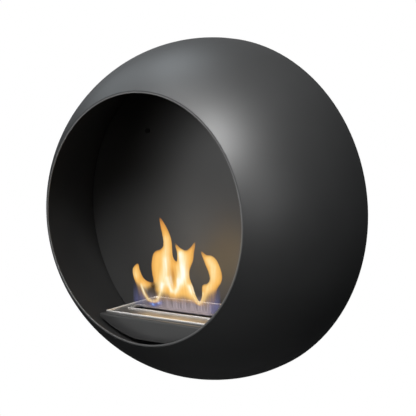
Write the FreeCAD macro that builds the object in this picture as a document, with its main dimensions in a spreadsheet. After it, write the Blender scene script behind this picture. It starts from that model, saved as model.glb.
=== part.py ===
import FreeCAD, Part
import math
import os
import Sketcher

# Wall-hung bioethanol fireplace: a black dome on a wall plate, with a slot burner on a tray inside.
# The origin is on the wall, on the dome's axis. +Y points into the wall and +Z up. Millimetres.
doc = FreeCAD.newDocument("wall_fireplace")

SIZES = {
    # Dome
    "body_diameter": 600,
    "body_depth": 208,
    "opening_diameter": 402,
    "shell_wall": 2,
    "rim_thickness": 2,
    "wall_gap": 2,
    "skirt_step": 0.5,
    "flange_width": 16,
    # Rear plate
    "rear_thickness": 2,
    "rear_clearance": 1,
    "shell_screw_count": 8,
    # Liner, back panel and insulation
    "liner_wall": 1.6,
    "liner_step": 0.6,
    "liner_seat_gap": 0.5,
    "liner_flange_gap": 4,
    "board_thickness": 10.5,
    "board_margin": 8,
    "panel_thickness": 1.5,
    "panel_gap": 2,
    "panel_screw_span_x": 244,
    "panel_screw_span_z": 286,
    "spacer_wall": 2.75,
    "spacer_room": 1,
    # Screws, all of one size
    "screw_diameter": 5,
    "screw_head_rim": 2.25,
    "screw_head_height": 2.7,
    "screw_socket_width": 3,
    "screw_socket_depth": 1.4,
    "screw_room": 0.5,
    # Hanger rail, wall plate and bumpers
    "hook_sheet": 3,
    "hook_depth": 15,
    "hook_play": 0.8,
    "hook_bottom_play": 3,
    "hook_wall_gap": 1.2,
    "lip_clearance": 2,
    "hanger_width": 260,
    "hanger_flange": 26,
    "hanger_end": 25,
    "wall_plate_width": 300,
    "wall_plate_top": 131,
    "wall_plate_bottom": 60,
    "wall_hole_diameter": 8,
    "wall_hole_inset_x": 30,
    "wall_hole_inset_z": 25.5,
    "bumper_diameter": 24,
    "bumper_inset": 54,
    "bumper_angle": 38,
    # Burner tray and its brackets
    "tray_setback": 28,
    "tray_margin": 5,
    "tray_sheet": 1.5,
    "tray_bend": 3,
    "tray_flange": 32,
    "apron_margin": 2,
    "apron_flat": 3,
    "apron_side": 4.3,
    "bracket_sheet": 1.5,
    "bracket_gap": 4,
    "bracket_setback": 30,
    "bracket_tip": 8,
    "bracket_foot": 18,
    # Burner
    "burner_front_margin": 11,
    "burner_back_margin": 12,
    "burner_end": 21,
    "burner_sheet": 1.5,
    "burner_rim_width": 2,
    "burner_rim_rise": 2,
    "slot_length": 172,
    "slot_width": 25,
    "slot_setback": 38,
    "slot_margin": 1,
    "frame_strip": 2,
    "frame_end_gap": 6,
    "tank_end": 7,
    "tank_front_margin": 17,
    "tank_back_margin": 12,
    "tank_liner_gap": 5,
    "tank_wall": 1.2,
    "tank_room": 1.5,
    "wool_room": 0.4,
    "wool_headroom": 7,
    "grid_sheet": 1,
    "grid_pitch": 10,
    "grid_web": 3,
    # Damper
    "damper_sheet": 2,
    "damper_lift": 0.2,
    "damper_side_play": 0.4,
    "damper_end_gap": 2,
    "grip_hole_diameter": 9,
    "grip_hole_inset": 16,
}

sheet = doc.addObject("Spreadsheet::Sheet", "size")
for row, (alias, number) in enumerate(SIZES.items(), start=1):
    sheet.set(f"A{row}", alias)
    sheet.set(f"B{row}", str(number))
    sheet.setAlias(f"B{row}", alias)
doc.recompute()

TURN_TO_FRONT = FreeCAD.Rotation(FreeCAD.Vector(1, 0, 0), 90)
TURN_TO_WALL = FreeCAD.Rotation(FreeCAD.Vector(1, 0, 0), -90)
SIDES = {"left": "-1", "right": "1"}

def value(expression):
    """An expression's number."""
    return float(sheet.evalExpression(expression))


def crown(depth, inset="0"):
    """The dome's radius at a depth, on its outer face or inset from it."""
    return f"({CROWN_CENTRE} + sqrt(({CROWN_RADIUS} - {inset})^2 - {depth}^2))"


def liner(depth):
    """The liner's inner radius at a depth."""
    return f"({LINER_FRONT_RADIUS} + {LINER_SLOPE} * ({depth} - {RIM_BACK}))"


# Depths from the wall: hanger stack, rear plate, board, panel and rim
REAR_BACK = "(-(size.lip_clearance + 2 * size.hook_sheet + size.hook_play + size.hook_wall_gap))"
REAR_FRONT = f"({REAR_BACK} - size.rear_thickness)"
PANEL_BACK = f"({REAR_FRONT} - size.board_thickness)"
PANEL_FRONT = f"({PANEL_BACK} - size.panel_thickness)"
RIM_FRONT = "(-size.body_depth)"
RIM_BACK = f"({RIM_FRONT} + size.rim_thickness)"

# Radii of the dome, its flange and the cone inside it
BODY_RADIUS = "(size.body_diameter / 2)"
OPENING_RADIUS = "(size.opening_diameter / 2)"
CROWN_STEP = f"({BODY_RADIUS} - {OPENING_RADIUS})"
CROWN_RADIUS = f"(({CROWN_STEP}^2 + size.body_depth^2) / (2 * {CROWN_STEP}))"
CROWN_CENTRE = f"({BODY_RADIUS} - {CROWN_RADIUS})"
SKIRT_RADIUS = f"({BODY_RADIUS} - size.shell_wall - size.skirt_step)"
FLANGE_INNER = f"({SKIRT_RADIUS} - size.flange_width)"
SHELL_SCREW_RADIUS = f"({SKIRT_RADIUS} - size.flange_width / 2)"
REAR_RADIUS = f"({SKIRT_RADIUS} - size.rear_clearance)"
RIM_SEAT = crown(RIM_BACK, "size.shell_wall")
LINER_FRONT_RADIUS = f"({RIM_SEAT} - size.liner_seat_gap - size.liner_wall)"
LINER_BACK_RADIUS = f"({FLANGE_INNER} - size.liner_flange_gap - size.liner_wall)"
LINER_SLOPE = f"(({LINER_BACK_RADIUS} - {LINER_FRONT_RADIUS}) / ({REAR_FRONT} - {RIM_BACK}))"
RIM_INNER = f"({LINER_FRONT_RADIUS} - size.liner_step)"
PANEL_RADIUS = f"({liner(PANEL_FRONT)} - size.panel_gap)"

# Screws and the hook
SCREW_HOLE = "(size.screw_diameter + size.screw_room)"
SCREW_HEAD = "(size.screw_diameter + 2 * size.screw_head_rim)"
SPACER_DIAMETER = f"({SCREW_HOLE} + 2 * size.spacer_wall)"
LIP_TOP = "(size.wall_plate_top + size.hook_depth)"
LIP_FRONT = f"({REAR_BACK} + size.lip_clearance)"
LIP_BACK = f"({LIP_FRONT} + size.hook_sheet)"

# The tray lies as low as the round apron, which follows the opening, lets its corners go
BURNER_HALF = "(size.slot_length / 2 + size.burner_end)"
TRAY_HALF = f"({BURNER_HALF} + size.tray_margin)"
APRON_RADIUS = f"({OPENING_RADIUS} + size.apron_margin)"
APRON_CORNER = f"(-sqrt({APRON_RADIUS}^2 - {TRAY_HALF}^2))"
APRON_FOOT = f"(-({APRON_RADIUS} - size.apron_flat))"
TRAY_TOP = f"({APRON_CORNER} + size.apron_side)"
TRAY_UNDER = f"({TRAY_TOP} - size.tray_sheet)"
TRAY_FRONT = f"({RIM_FRONT} + size.tray_setback)"
FLANGE_FRONT = f"({PANEL_FRONT} - size.tray_sheet)"
FLANGE_FOOT = f"({TRAY_TOP} - size.tray_flange)"
FOOT_FRONT = f"({FLANGE_FRONT} - size.bracket_sheet)"

# Burner plate, slot, tank and damper
BURNER_FRONT = f"({TRAY_FRONT} + size.burner_front_margin)"
BURNER_BACK = f"({PANEL_FRONT} - size.burner_back_margin)"
BURNER_TOP = f"({TRAY_TOP} + size.burner_sheet)"
SLOT_HALF = "(size.slot_length / 2)"
SLOT_FRONT = f"({BURNER_FRONT} + size.slot_setback)"
SLOT_BACK = f"({SLOT_FRONT} + size.slot_width)"
FRAME_INSIDE = f"({SLOT_HALF} + size.slot_margin + size.damper_side_play)"
FRAME_BACK = f"({BURNER_BACK} - size.frame_end_gap)"
TANK_HALF = f"({SLOT_HALF} + size.tank_end)"
TANK_FRONT = f"({BURNER_FRONT} + size.tank_front_margin)"
TANK_BACK = f"({BURNER_BACK} - size.tank_back_margin)"
TANK_BOTTOM = f"(-sqrt(({liner(TANK_FRONT)} - size.tank_liner_gap)^2 - {TANK_HALF}^2))"
WOOL_TOP = f"({TRAY_TOP} - size.wool_headroom)"
BRACKET_INNER = f"({TANK_HALF} + size.tank_room + size.bracket_gap)"
BRACKET_OUTER = f"({BRACKET_INNER} + size.bracket_sheet)"


def new_body(label):
    body = doc.addObject("PartDesign::Body", label)
    body.Label = label
    return body


def new_sketch(body, name, role, offset="0"):
    """A sketch on one of the body's own origin planes, moved along that plane's normal."""
    sketch = body.newObject("Sketcher::SketchObject", name)
    plane = [feature for feature in body.Origin.OriginFeatures if feature.Role == role][0]
    sketch.AttachmentSupport = [(plane, "")]
    sketch.MapMode = "FlatFace"
    sketch.setExpression("AttachmentOffset.Base.z", offset)
    return sketch


def measure(sketch, kind, geometry, point, expression):
    """One bound distance from the sketch's origin."""
    number = sketch.addConstraint(Sketcher.Constraint(kind, -1, 1, geometry, point, value(expression)))
    sketch.setExpression(f"Constraints[{number}]", expression)


def draw_outline(sketch, corners):
    """A closed outline. A corner is (x, y), or (x, y, centre x, centre y, turn) where an arc leaves it."""
    first = sketch.GeometryCount
    ends = []
    points = [FreeCAD.Vector(value(corner[0]), value(corner[1]), 0) for corner in corners]
    for index, corner in enumerate(corners):
        start = points[index]
        stop = points[(index + 1) % len(points)]
        if len(corner) == 2:
            sketch.addGeometry(Part.LineSegment(start, stop), False)
            ends.append((1, 2))
            continue
        centre = FreeCAD.Vector(value(corner[2]), value(corner[3]), 0)
        circle = Part.Circle(centre, FreeCAD.Vector(0, 0, 1), start.distanceToPoint(centre))
        from_angle = math.atan2(start.y - centre.y, start.x - centre.x)
        to_angle = math.atan2(stop.y - centre.y, stop.x - centre.x)
        if corner[4] == "left":
            sketch.addGeometry(Part.ArcOfCircle(circle, from_angle, to_angle), False)
            ends.append((1, 2))
        else:
            sketch.addGeometry(Part.ArcOfCircle(circle, to_angle, from_angle), False)
            ends.append((2, 1))
    for index, corner in enumerate(corners):
        following = (index + 1) % len(corners)
        joint = (first + index, ends[index][1], first + following, ends[following][0])
        sketch.addConstraint(Sketcher.Constraint("Coincident", *joint))
        measure(sketch, "DistanceX", first + index, ends[index][0], corner[0])
        measure(sketch, "DistanceY", first + index, ends[index][0], corner[1])
        if len(corner) > 2:
            radius = f"sqrt(({corner[0]} - {corner[2]})^2 + ({corner[1]} - {corner[3]})^2)"
            number = sketch.addConstraint(Sketcher.Constraint("Radius", first + index, value(radius)))
            sketch.setExpression(f"Constraints[{number}]", radius)


def draw_rectangle(sketch, low_x, high_x, low_y, high_y):
    draw_outline(sketch, [(low_x, low_y), (high_x, low_y), (high_x, high_y), (low_x, high_y)])


def draw_circle(sketch, x, y, diameter):
    centre = FreeCAD.Vector(value(x), value(y), 0)
    circle = Part.Circle(centre, FreeCAD.Vector(0, 0, 1), value(diameter) / 2)
    index = sketch.addGeometry(circle, False)
    measure(sketch, "DistanceX", index, 3, x)
    measure(sketch, "DistanceY", index, 3, y)
    number = sketch.addConstraint(Sketcher.Constraint("Diameter", index, value(diameter)))
    sketch.setExpression(f"Constraints[{number}]", diameter)


def revolve(body, sketch):
    turned = body.newObject("PartDesign::Revolution", "turned")
    turned.Profile = sketch
    turned.ReferenceAxis = (sketch, ["V_Axis"])
    turned.Angle = 360
    doc.recompute()
    return turned


def pad(body, sketch, length, name="pad", both_ways=False):
    grown = body.newObject("PartDesign::Pad", name)
    grown.Profile = sketch
    grown.Midplane = both_ways
    grown.setExpression("Length", length)
    doc.recompute()
    return grown


def pocket(body, sketch, length, name="pocket"):
    """A pocket against the sketch's normal, which has to take something away."""
    before = body.Shape.Volume
    hollow = body.newObject("PartDesign::Pocket", name)
    hollow.Profile = sketch
    hollow.setExpression("Length", length)
    doc.recompute()
    if body.Shape.Volume >= before:
        raise ValueError(f"{body.Label}: {name} cuts nothing")
    return hollow


def place(thing, x, y, z):
    for axis, expression in (("x", x), ("y", y), ("z", z)):
        thing.setExpression(f"Placement.Base.{axis}", expression)


def block(name, low, high):
    """A box between two corners."""
    box = doc.addObject("Part::Box", name)
    for axis, prop in enumerate(("Length", "Width", "Height")):
        box.setExpression(prop, f"{high[axis]} - ({low[axis]})")
    place(box, *low)
    return box


def rod(name, rotation, diameter, length, spot):
    """A round bar from a spot towards the front or the wall."""
    bar = doc.addObject("Part::Cylinder", name)
    bar.Placement.Rotation = rotation
    bar.setExpression("Radius", f"{diameter} / 2")
    bar.setExpression("Height", length)
    place(bar, *spot)
    return bar


def cut(label, base, tool):
    result = doc.addObject("Part::Cut", label)
    result.Base = base
    result.Tool = tool
    result.Label = label
    return result


def group(label, things):
    """Like pieces that share one node."""
    compound = doc.addObject("Part::Compound", label)
    compound.Links = things
    compound.Label = label
    return compound


def screw(name, x, z, seat, grip, head_towards):
    """A socket-head screw whose head sits on the face at depth seat."""
    forward = head_towards == "front"
    head_turn = TURN_TO_FRONT if forward else TURN_TO_WALL
    shank_turn = TURN_TO_WALL if forward else TURN_TO_FRONT
    sign = "-" if forward else "+"
    head = rod(f"{name}_head", head_turn, SCREW_HEAD, "size.screw_head_height", (x, seat, z))
    shank = rod(f"{name}_shank", shank_turn, "size.screw_diameter", grip, (x, seat, z))
    whole = doc.addObject("Part::Fuse", f"{name}_blank")
    whole.Base = head
    whole.Tool = shank
    socket = doc.addObject("Part::Prism", f"{name}_socket")
    socket.Polygon = 6
    socket.Placement.Rotation = head_turn
    socket.setExpression("Circumradius", "size.screw_socket_width / sqrt(3)")
    socket.setExpression("Height", "size.screw_socket_depth")
    place(socket, x, f"{seat} {sign} (size.screw_head_height - size.screw_socket_depth)", z)
    return cut(name, whole, socket)


def panel_screw_spots():
    return [(f"({x} * size.panel_screw_span_x / 2)", f"({z} * size.panel_screw_span_z / 2)")
            for x in (-1, 1) for z in (-1, 1)]


def shell_screw_spots():
    spots = []
    for index in range(int(value("size.shell_screw_count"))):
        angle = f"(360 deg * ({index} + 0.5) / size.shell_screw_count)"
        spots.append((f"({SHELL_SCREW_RADIUS} * cos({angle}))", f"({SHELL_SCREW_RADIUS} * sin({angle}))"))
    return spots


def hanger_screw_spots():
    height = f"({LIP_TOP} + size.hook_sheet + size.hanger_flange / 2)"
    run = "(size.hanger_width - 2 * size.hanger_end)"
    return [(f"({run} * {share})", height) for share in ("(-1 / 2)", "(-1 / 6)", "(1 / 6)", "(1 / 2)")]


def tray_screw_spots():
    spots = []
    for sign in SIDES.values():
        x = f"({sign} * ({BRACKET_OUTER} - size.bracket_foot / 2))"
        for share in ("(1 / 4)", "(3 / 4)"):
            spots.append((x, f"({TRAY_UNDER} + {share} * ({FLANGE_FOOT} - {TRAY_UNDER}))"))
    return spots


def disc(label, radius, back, thickness, holes):
    """A round plate whose back face is at a depth, with round holes (x, z, diameter)."""
    body = new_body(label)
    sketch = new_sketch(body, f"{label}_outline", "XZ_Plane", f"-{back}")
    draw_circle(sketch, "0", "0", f"2 * {radius}")
    for x, z, diameter in holes:
        draw_circle(sketch, x, z, diameter)
    pad(body, sketch, thickness)
    return body


def outer_shell():
    """Spun dome: round-arc crown, thin rim turned in at the opening, flange for the rear plate."""
    body = new_body("outer_shell")
    flange_front = f"({REAR_FRONT} - size.shell_wall)"
    edge = "(-size.wall_gap)"
    profile = new_sketch(body, "shell_profile", "XY_Plane")
    draw_outline(profile, [
        (OPENING_RADIUS, RIM_FRONT, CROWN_CENTRE, "0", "left"),
        (crown(edge), edge),
        (SKIRT_RADIUS, edge),
        (SKIRT_RADIUS, REAR_FRONT),
        (FLANGE_INNER, REAR_FRONT),
        (FLANGE_INNER, flange_front),
        (crown(flange_front, "size.shell_wall"), flange_front, CROWN_CENTRE, "0", "right"),
        (crown(RIM_BACK, "size.shell_wall"), RIM_BACK),
        (RIM_INNER, RIM_BACK),
        (RIM_INNER, RIM_FRONT),
    ])
    revolve(body, profile)
    holes = new_sketch(body, "shell_holes", "XZ_Plane", f"-{flange_front}")
    for x, z in shell_screw_spots():
        draw_circle(holes, x, z, SCREW_HOLE)
    pocket(body, holes, "size.shell_wall", "screw_holes")
    return body


def inner_liner():
    """Conical sheet that stands between the rim and the rear plate."""
    body = new_body("inner_liner")
    profile = new_sketch(body, "liner_profile", "XY_Plane")
    draw_outline(profile, [
        (LINER_FRONT_RADIUS, RIM_BACK),
        (f"({LINER_FRONT_RADIUS} + size.liner_wall)", RIM_BACK),
        (f"({LINER_BACK_RADIUS} + size.liner_wall)", REAR_FRONT),
        (LINER_BACK_RADIUS, REAR_FRONT),
    ])
    revolve(body, profile)
    return body


def rear_plate():
    """Structural disc in the dome's back, screwed to the dome's flange."""
    spots = shell_screw_spots() + panel_screw_spots() + hanger_screw_spots()
    holes = [(x, z, SCREW_HOLE) for x, z in spots]
    return disc("rear_plate", REAR_RADIUS, REAR_BACK, "size.rear_thickness", holes)


def shell_screws():
    grip = "size.rear_thickness + size.shell_wall"
    return group("shell_screws", [screw(f"shell_screw_{index}", x, z, REAR_BACK, grip, "wall")
                                  for index, (x, z) in enumerate(shell_screw_spots())])


def back_panel():
    """Flat disc that closes the firebox, a small gap inside the liner."""
    holes = [(x, z, SCREW_HOLE) for x, z in panel_screw_spots() + tray_screw_spots()]
    return disc("back_panel", PANEL_RADIUS, PANEL_BACK, "size.panel_thickness", holes)


def insulation_board():
    """Fibre board that fills the room between the rear plate and the panel."""
    holes = [(x, z, f"{SPACER_DIAMETER} + size.spacer_room") for x, z in panel_screw_spots()]
    radius = f"({PANEL_RADIUS} - size.board_margin)"
    return disc("insulation_board", radius, REAR_FRONT, "size.board_thickness", holes)


def panel_spacers():
    """Sleeves that carry the panel's load past the soft board."""
    length = "size.board_thickness"
    sleeves = []
    for index, (x, z) in enumerate(panel_screw_spots()):
        spot = (x, REAR_FRONT, z)
        outside = rod(f"spacer_{index}_outside", TURN_TO_FRONT, SPACER_DIAMETER, length, spot)
        bore = rod(f"spacer_{index}_bore", TURN_TO_FRONT, SCREW_HOLE, length, spot)
        sleeves.append(cut(f"spacer_{index}", outside, bore))
    return group("panel_spacers", sleeves)


def panel_screws():
    grip = f"{REAR_BACK} - {PANEL_FRONT}"
    return group("panel_screws", [screw(f"panel_screw_{index}", x, z, PANEL_FRONT, grip, "front")
                                  for index, (x, z) in enumerate(panel_screw_spots())])


def hanger_rail():
    """Bent rail on the rear plate whose tongue drops behind the wall plate's lip."""
    body = new_body("hanger_rail")
    flange_back = f"({REAR_BACK} + size.hook_sheet)"
    tongue_front = f"({LIP_BACK} + size.hook_play)"
    tongue_back = f"({tongue_front} + size.hook_sheet)"
    tongue_foot = "(size.wall_plate_top + size.hook_bottom_play)"
    bend_top = f"({LIP_TOP} + size.hook_sheet)"
    profile = new_sketch(body, "hanger_profile", "YZ_Plane")
    draw_outline(profile, [
        (tongue_back, tongue_foot),
        (tongue_back, bend_top),
        (flange_back, bend_top),
        (flange_back, f"({bend_top} + size.hanger_flange)"),
        (REAR_BACK, f"({bend_top} + size.hanger_flange)"),
        (REAR_BACK, LIP_TOP),
        (tongue_front, LIP_TOP),
        (tongue_front, tongue_foot),
    ])
    pad(body, profile, "size.hanger_width", both_ways=True)
    holes = new_sketch(body, "hanger_holes", "XZ_Plane", f"-{REAR_BACK}")
    for x, z in hanger_screw_spots():
        draw_circle(holes, x, z, SCREW_HOLE)
    pocket(body, holes, "size.hook_sheet", "screw_holes")
    return body


def hanger_screws():
    seat = f"({REAR_BACK} + size.hook_sheet)"
    grip = "size.hook_sheet + size.rear_thickness"
    return group("hanger_screws", [screw(f"hanger_screw_{index}", x, z, seat, grip, "wall")
                                   for index, (x, z) in enumerate(hanger_screw_spots())])


def wall_plate():
    """Plate against the wall with four screw holes and a lip along its top."""
    body = new_body("wall_plate")
    step_under = "(size.wall_plate_top - size.hook_sheet)"
    foot = "(-size.wall_plate_bottom)"
    profile = new_sketch(body, "wall_plate_profile", "YZ_Plane")
    draw_outline(profile, [
        ("0", foot),
        ("0", "size.wall_plate_top"),
        (LIP_BACK, "size.wall_plate_top"),
        (LIP_BACK, LIP_TOP),
        (LIP_FRONT, LIP_TOP),
        (LIP_FRONT, step_under),
        ("(-size.hook_sheet)", step_under),
        ("(-size.hook_sheet)", foot),
    ])
    pad(body, profile, "size.wall_plate_width", both_ways=True)
    holes = new_sketch(body, "wall_holes", "XZ_Plane", "size.hook_sheet")
    heights = (f"({foot} + size.wall_hole_inset_z)", "(size.wall_plate_top - size.wall_hole_inset_z)")
    for sign in SIDES.values():
        across = f"({sign} * (size.wall_plate_width / 2 - size.wall_hole_inset_x))"
        for height in heights:
            draw_circle(holes, across, height, "size.wall_hole_diameter")
    pocket(body, holes, "size.hook_sheet", "wall_holes_cut")
    return body


def wall_bumpers():
    """Rubber pads that keep the dome's lower edge off the wall."""
    pads = []
    ring = f"({REAR_RADIUS} - size.bumper_inset)"
    for side, sign in SIDES.items():
        across = f"{sign} * {ring} * sin(size.bumper_angle * 1 deg)"
        spot = (across, REAR_BACK, f"-{ring} * cos(size.bumper_angle * 1 deg)")
        pads.append(rod(f"bumper_{side}", TURN_TO_WALL, "size.bumper_diameter", f"-{REAR_BACK}", spot))
    return group("wall_bumpers", pads)


def burner_tray():
    """Bent shelf: rear flange on the panel, opening for the tank, apron cut round at the front."""
    body = new_body("burner_tray")
    apron_back = f"({TRAY_FRONT} + size.tray_sheet)"
    bend_y = f"({TRAY_FRONT} + size.tray_bend)"
    bend_z = f"({TRAY_TOP} - size.tray_bend)"
    profile = new_sketch(body, "tray_profile", "YZ_Plane")
    draw_outline(profile, [
        (PANEL_FRONT, FLANGE_FOOT),
        (PANEL_FRONT, TRAY_TOP),
        (bend_y, TRAY_TOP, bend_y, bend_z, "left"),
        (TRAY_FRONT, bend_z),
        (TRAY_FRONT, APRON_FOOT),
        (apron_back, APRON_FOOT),
        (apron_back, bend_z, bend_y, bend_z, "right"),
        (bend_y, TRAY_UNDER),
        (FLANGE_FRONT, TRAY_UNDER),
        (FLANGE_FRONT, FLANGE_FOOT),
    ])
    pad(body, profile, f"2 * {TRAY_HALF}", both_ways=True)

    opening = new_sketch(body, "tank_opening", "XY_Plane", TRAY_TOP)
    half = f"({TANK_HALF} + size.tank_room)"
    low_y = f"({TANK_FRONT} - size.tank_room)"
    draw_rectangle(opening, f"(-{half})", half, low_y, f"({TANK_BACK} + size.tank_room)")
    pocket(body, opening, "size.tray_sheet", "tank_opening_cut")

    corners = new_sketch(body, "apron_corners", "XZ_Plane", f"-{TRAY_FRONT}")
    foot_x = f"sqrt({APRON_RADIUS}^2 - {APRON_FOOT}^2)"
    draw_outline(corners, [
        (f"({foot_x})", APRON_FOOT, "0", "0", "left"),
        (TRAY_HALF, APRON_CORNER),
        (TRAY_HALF, APRON_FOOT),
    ])
    draw_outline(corners, [
        (f"(-{TRAY_HALF})", APRON_CORNER, "0", "0", "left"),
        (f"(-{foot_x})", APRON_FOOT),
        (f"(-{TRAY_HALF})", APRON_FOOT),
    ])
    pocket(body, corners, "size.tray_sheet", "apron_corner_cut")

    holes = new_sketch(body, "tray_holes", "XZ_Plane", f"-{FLANGE_FRONT}")
    for x, z in tray_screw_spots():
        draw_circle(holes, x, z, SCREW_HOLE)
    pocket(body, holes, "size.tray_sheet", "screw_holes")
    return body


def tray_bracket(side):
    """Gusset under the tray: a web along the depth and a foot on the tray's rear flange."""
    label = f"tray_bracket_{side}"
    sign = SIDES[side]
    body = new_body(label)
    outer = f"({sign} * {BRACKET_OUTER})"
    inner = f"({sign} * {BRACKET_INNER})"
    foot_end = f"({sign} * ({BRACKET_OUTER} - size.bracket_foot))"
    tip = f"({TRAY_FRONT} + size.bracket_setback)"
    web = new_sketch(body, f"{label}_web", "YZ_Plane", outer if side == "left" else inner)
    draw_outline(web, [
        (FLANGE_FRONT, FLANGE_FOOT),
        (FLANGE_FRONT, TRAY_UNDER),
        (tip, TRAY_UNDER),
        (tip, f"({TRAY_UNDER} - size.bracket_tip)"),
        (FOOT_FRONT, FLANGE_FOOT),
    ])
    pad(body, web, "size.bracket_sheet", "web")
    foot = new_sketch(body, f"{label}_foot", "XZ_Plane", f"-{FLANGE_FRONT}")
    low_x, high_x = (outer, foot_end) if side == "left" else (foot_end, outer)
    draw_rectangle(foot, low_x, high_x, FLANGE_FOOT, TRAY_UNDER)
    for x, z in tray_screw_spots():
        if value(x) * value(outer) > 0:
            draw_circle(foot, x, z, SCREW_HOLE)
    pad(body, foot, "size.bracket_sheet", "foot")
    return body


def tray_screws():
    grip = f"{PANEL_BACK} - {FOOT_FRONT}"
    return group("tray_screws", [screw(f"tray_screw_{index}", x, z, FOOT_FRONT, grip, "front")
                                 for index, (x, z) in enumerate(tray_screw_spots())])


def burner_top():
    """Stainless plate with a raised edge, which rests on the tray, and the flame slot."""
    body = new_body("burner_top")
    rim = "size.burner_rim_width"
    inside = f"({BURNER_HALF} - {rim})"
    plate = new_sketch(body, "plate_outline", "XY_Plane", TRAY_TOP)
    draw_rectangle(plate, f"(-{BURNER_HALF})", BURNER_HALF, BURNER_FRONT, BURNER_BACK)
    draw_rectangle(plate, f"(-{SLOT_HALF})", SLOT_HALF, SLOT_FRONT, SLOT_BACK)
    pad(body, plate, "size.burner_sheet", "plate")
    edge = new_sketch(body, "edge_outline", "XY_Plane", TRAY_TOP)
    draw_rectangle(edge, f"(-{BURNER_HALF})", BURNER_HALF, BURNER_FRONT, BURNER_BACK)
    draw_rectangle(edge, f"(-{inside})", inside, f"({BURNER_FRONT} + {rim})", f"({BURNER_BACK} - {rim})")
    pad(body, edge, "size.burner_sheet + size.burner_rim_rise", "raised_edge")
    return body


def slot_frame():
    """U-shaped strip on the plate: a lip ahead of the slot and a guide on each side of the damper."""
    body = new_body("slot_frame")
    outside = f"({FRAME_INSIDE} + size.frame_strip)"
    lip_back = f"({SLOT_FRONT} - size.slot_margin)"
    lip_front = f"({lip_back} - size.frame_strip)"
    outline = new_sketch(body, "frame_outline", "XY_Plane", BURNER_TOP)
    draw_outline(outline, [
        (f"(-{outside})", lip_front),
        (outside, lip_front),
        (outside, FRAME_BACK),
        (FRAME_INSIDE, FRAME_BACK),
        (FRAME_INSIDE, lip_back),
        (f"(-{FRAME_INSIDE})", lip_back),
        (f"(-{FRAME_INSIDE})", FRAME_BACK),
        (f"(-{outside})", FRAME_BACK),
    ])
    pad(body, outline, "size.damper_lift + size.damper_sheet")
    return body


def burner_tank():
    """Stainless fuel box under the burner plate, as deep as the liner's floor leaves room for."""
    body = new_body("burner_tank")
    wall = "size.tank_wall"
    inside = f"({TANK_HALF} - {wall})"
    outline = new_sketch(body, "tank_outline", "XY_Plane", TANK_BOTTOM)
    draw_rectangle(outline, f"(-{TANK_HALF})", TANK_HALF, TANK_FRONT, TANK_BACK)
    pad(body, outline, f"{TRAY_TOP} - {TANK_BOTTOM}")
    hollow = new_sketch(body, "tank_hollow", "XY_Plane", TRAY_TOP)
    draw_rectangle(hollow, f"(-{inside})", inside, f"({TANK_FRONT} + {wall})", f"({TANK_BACK} - {wall})")
    pocket(body, hollow, f"{TRAY_TOP} - {TANK_BOTTOM} - {wall}", "hollow")
    return body


def wool_edges():
    """The room for the fibre pad between the tank's walls."""
    inset = "(size.tank_wall + size.wool_room)"
    half = f"({TANK_HALF} - {inset})"
    return f"(-{half})", half, f"({TANK_FRONT} + {inset})", f"({TANK_BACK} - {inset})"


def wool_pad():
    """Ceramic fibre that fills the tank's lower part."""
    low_x, high_x, low_y, high_y = wool_edges()
    floor = f"({TANK_BOTTOM} + size.tank_wall)"
    wool = block("wool_pad", (low_x, low_y, floor), (high_x, high_y, WOOL_TOP))
    wool.Label = "wool_pad"
    return wool


def wool_grid():
    """Perforated sheet on the fibre, with rows of square holes under the slot."""
    body = new_body("wool_grid")
    low_x, high_x, low_y, high_y = wool_edges()
    outline = new_sketch(body, "grid_outline", "XY_Plane", WOOL_TOP)
    draw_rectangle(outline, low_x, high_x, low_y, high_y)
    pad(body, outline, "size.grid_sheet")
    columns = "floor(size.slot_length / size.grid_pitch)"
    rows = int(value("floor(size.slot_width / size.grid_pitch + 0.5)"))
    half_hole = "((size.grid_pitch - size.grid_web) / 2)"
    first_x = f"(-({columns} - 1) / 2 * size.grid_pitch)"
    holes = new_sketch(body, "grid_holes", "XY_Plane", f"{WOOL_TOP} + size.grid_sheet")
    for row in range(rows):
        step = f"({row} - ({rows} - 1) / 2)"
        middle = f"(({SLOT_FRONT} + {SLOT_BACK}) / 2 + {step} * size.grid_pitch)"
        draw_rectangle(holes, f"({first_x} - {half_hole})", f"({first_x} + {half_hole})",
                       f"({middle} - {half_hole})", f"({middle} + {half_hole})")
    column = pocket(body, holes, "size.grid_sheet", "hole_column")
    pattern = body.newObject("PartDesign::LinearPattern", "hole_columns")
    pattern.Originals = [column]
    pattern.Direction = (holes, ["H_Axis"])
    pattern.setExpression("Length", f"({columns} - 1) * size.grid_pitch")
    pattern.setExpression("Occurrences", columns)
    body.Tip = pattern
    return body


def damper_plate():
    """Plate behind the slot that slides forward between the guides and shuts off the flame."""
    body = new_body("damper_plate")
    half = f"({SLOT_HALF} + size.slot_margin)"
    back = f"({FRAME_BACK} - size.damper_end_gap)"
    outline = new_sketch(body, "damper_outline", "XY_Plane", f"{BURNER_TOP} + size.damper_lift")
    draw_rectangle(outline, f"(-{half})", half, f"({SLOT_BACK} + size.slot_margin)", back)
    grip_x = f"({half} - size.grip_hole_inset)"
    draw_circle(outline, grip_x, f"({back} - size.grip_hole_inset)", "size.grip_hole_diameter")
    pad(body, outline, "size.damper_sheet")
    return body


nodes = [
    outer_shell(),
    inner_liner(),
    rear_plate(),
    shell_screws(),
    insulation_board(),
    back_panel(),
    panel_spacers(),
    panel_screws(),
    hanger_rail(),
    hanger_screws(),
    wall_plate(),
    wall_bumpers(),
    burner_tray(),
    tray_bracket("left"),
    tray_bracket("right"),
    tray_screws(),
    burner_top(),
    slot_frame(),
    burner_tank(),
    wool_pad(),
    wool_grid(),
    damper_plate(),
]
doc.recompute()

for thing in doc.Objects:
    if "Invalid" in thing.State or "Error" in thing.State:
        raise ValueError(f"{thing.Label} failed: {thing.State}")
for node in nodes:
    if node.Shape.isNull() or not node.Shape.isValid():
        raise ValueError(f"{node.Label} has no valid shape")

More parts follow.
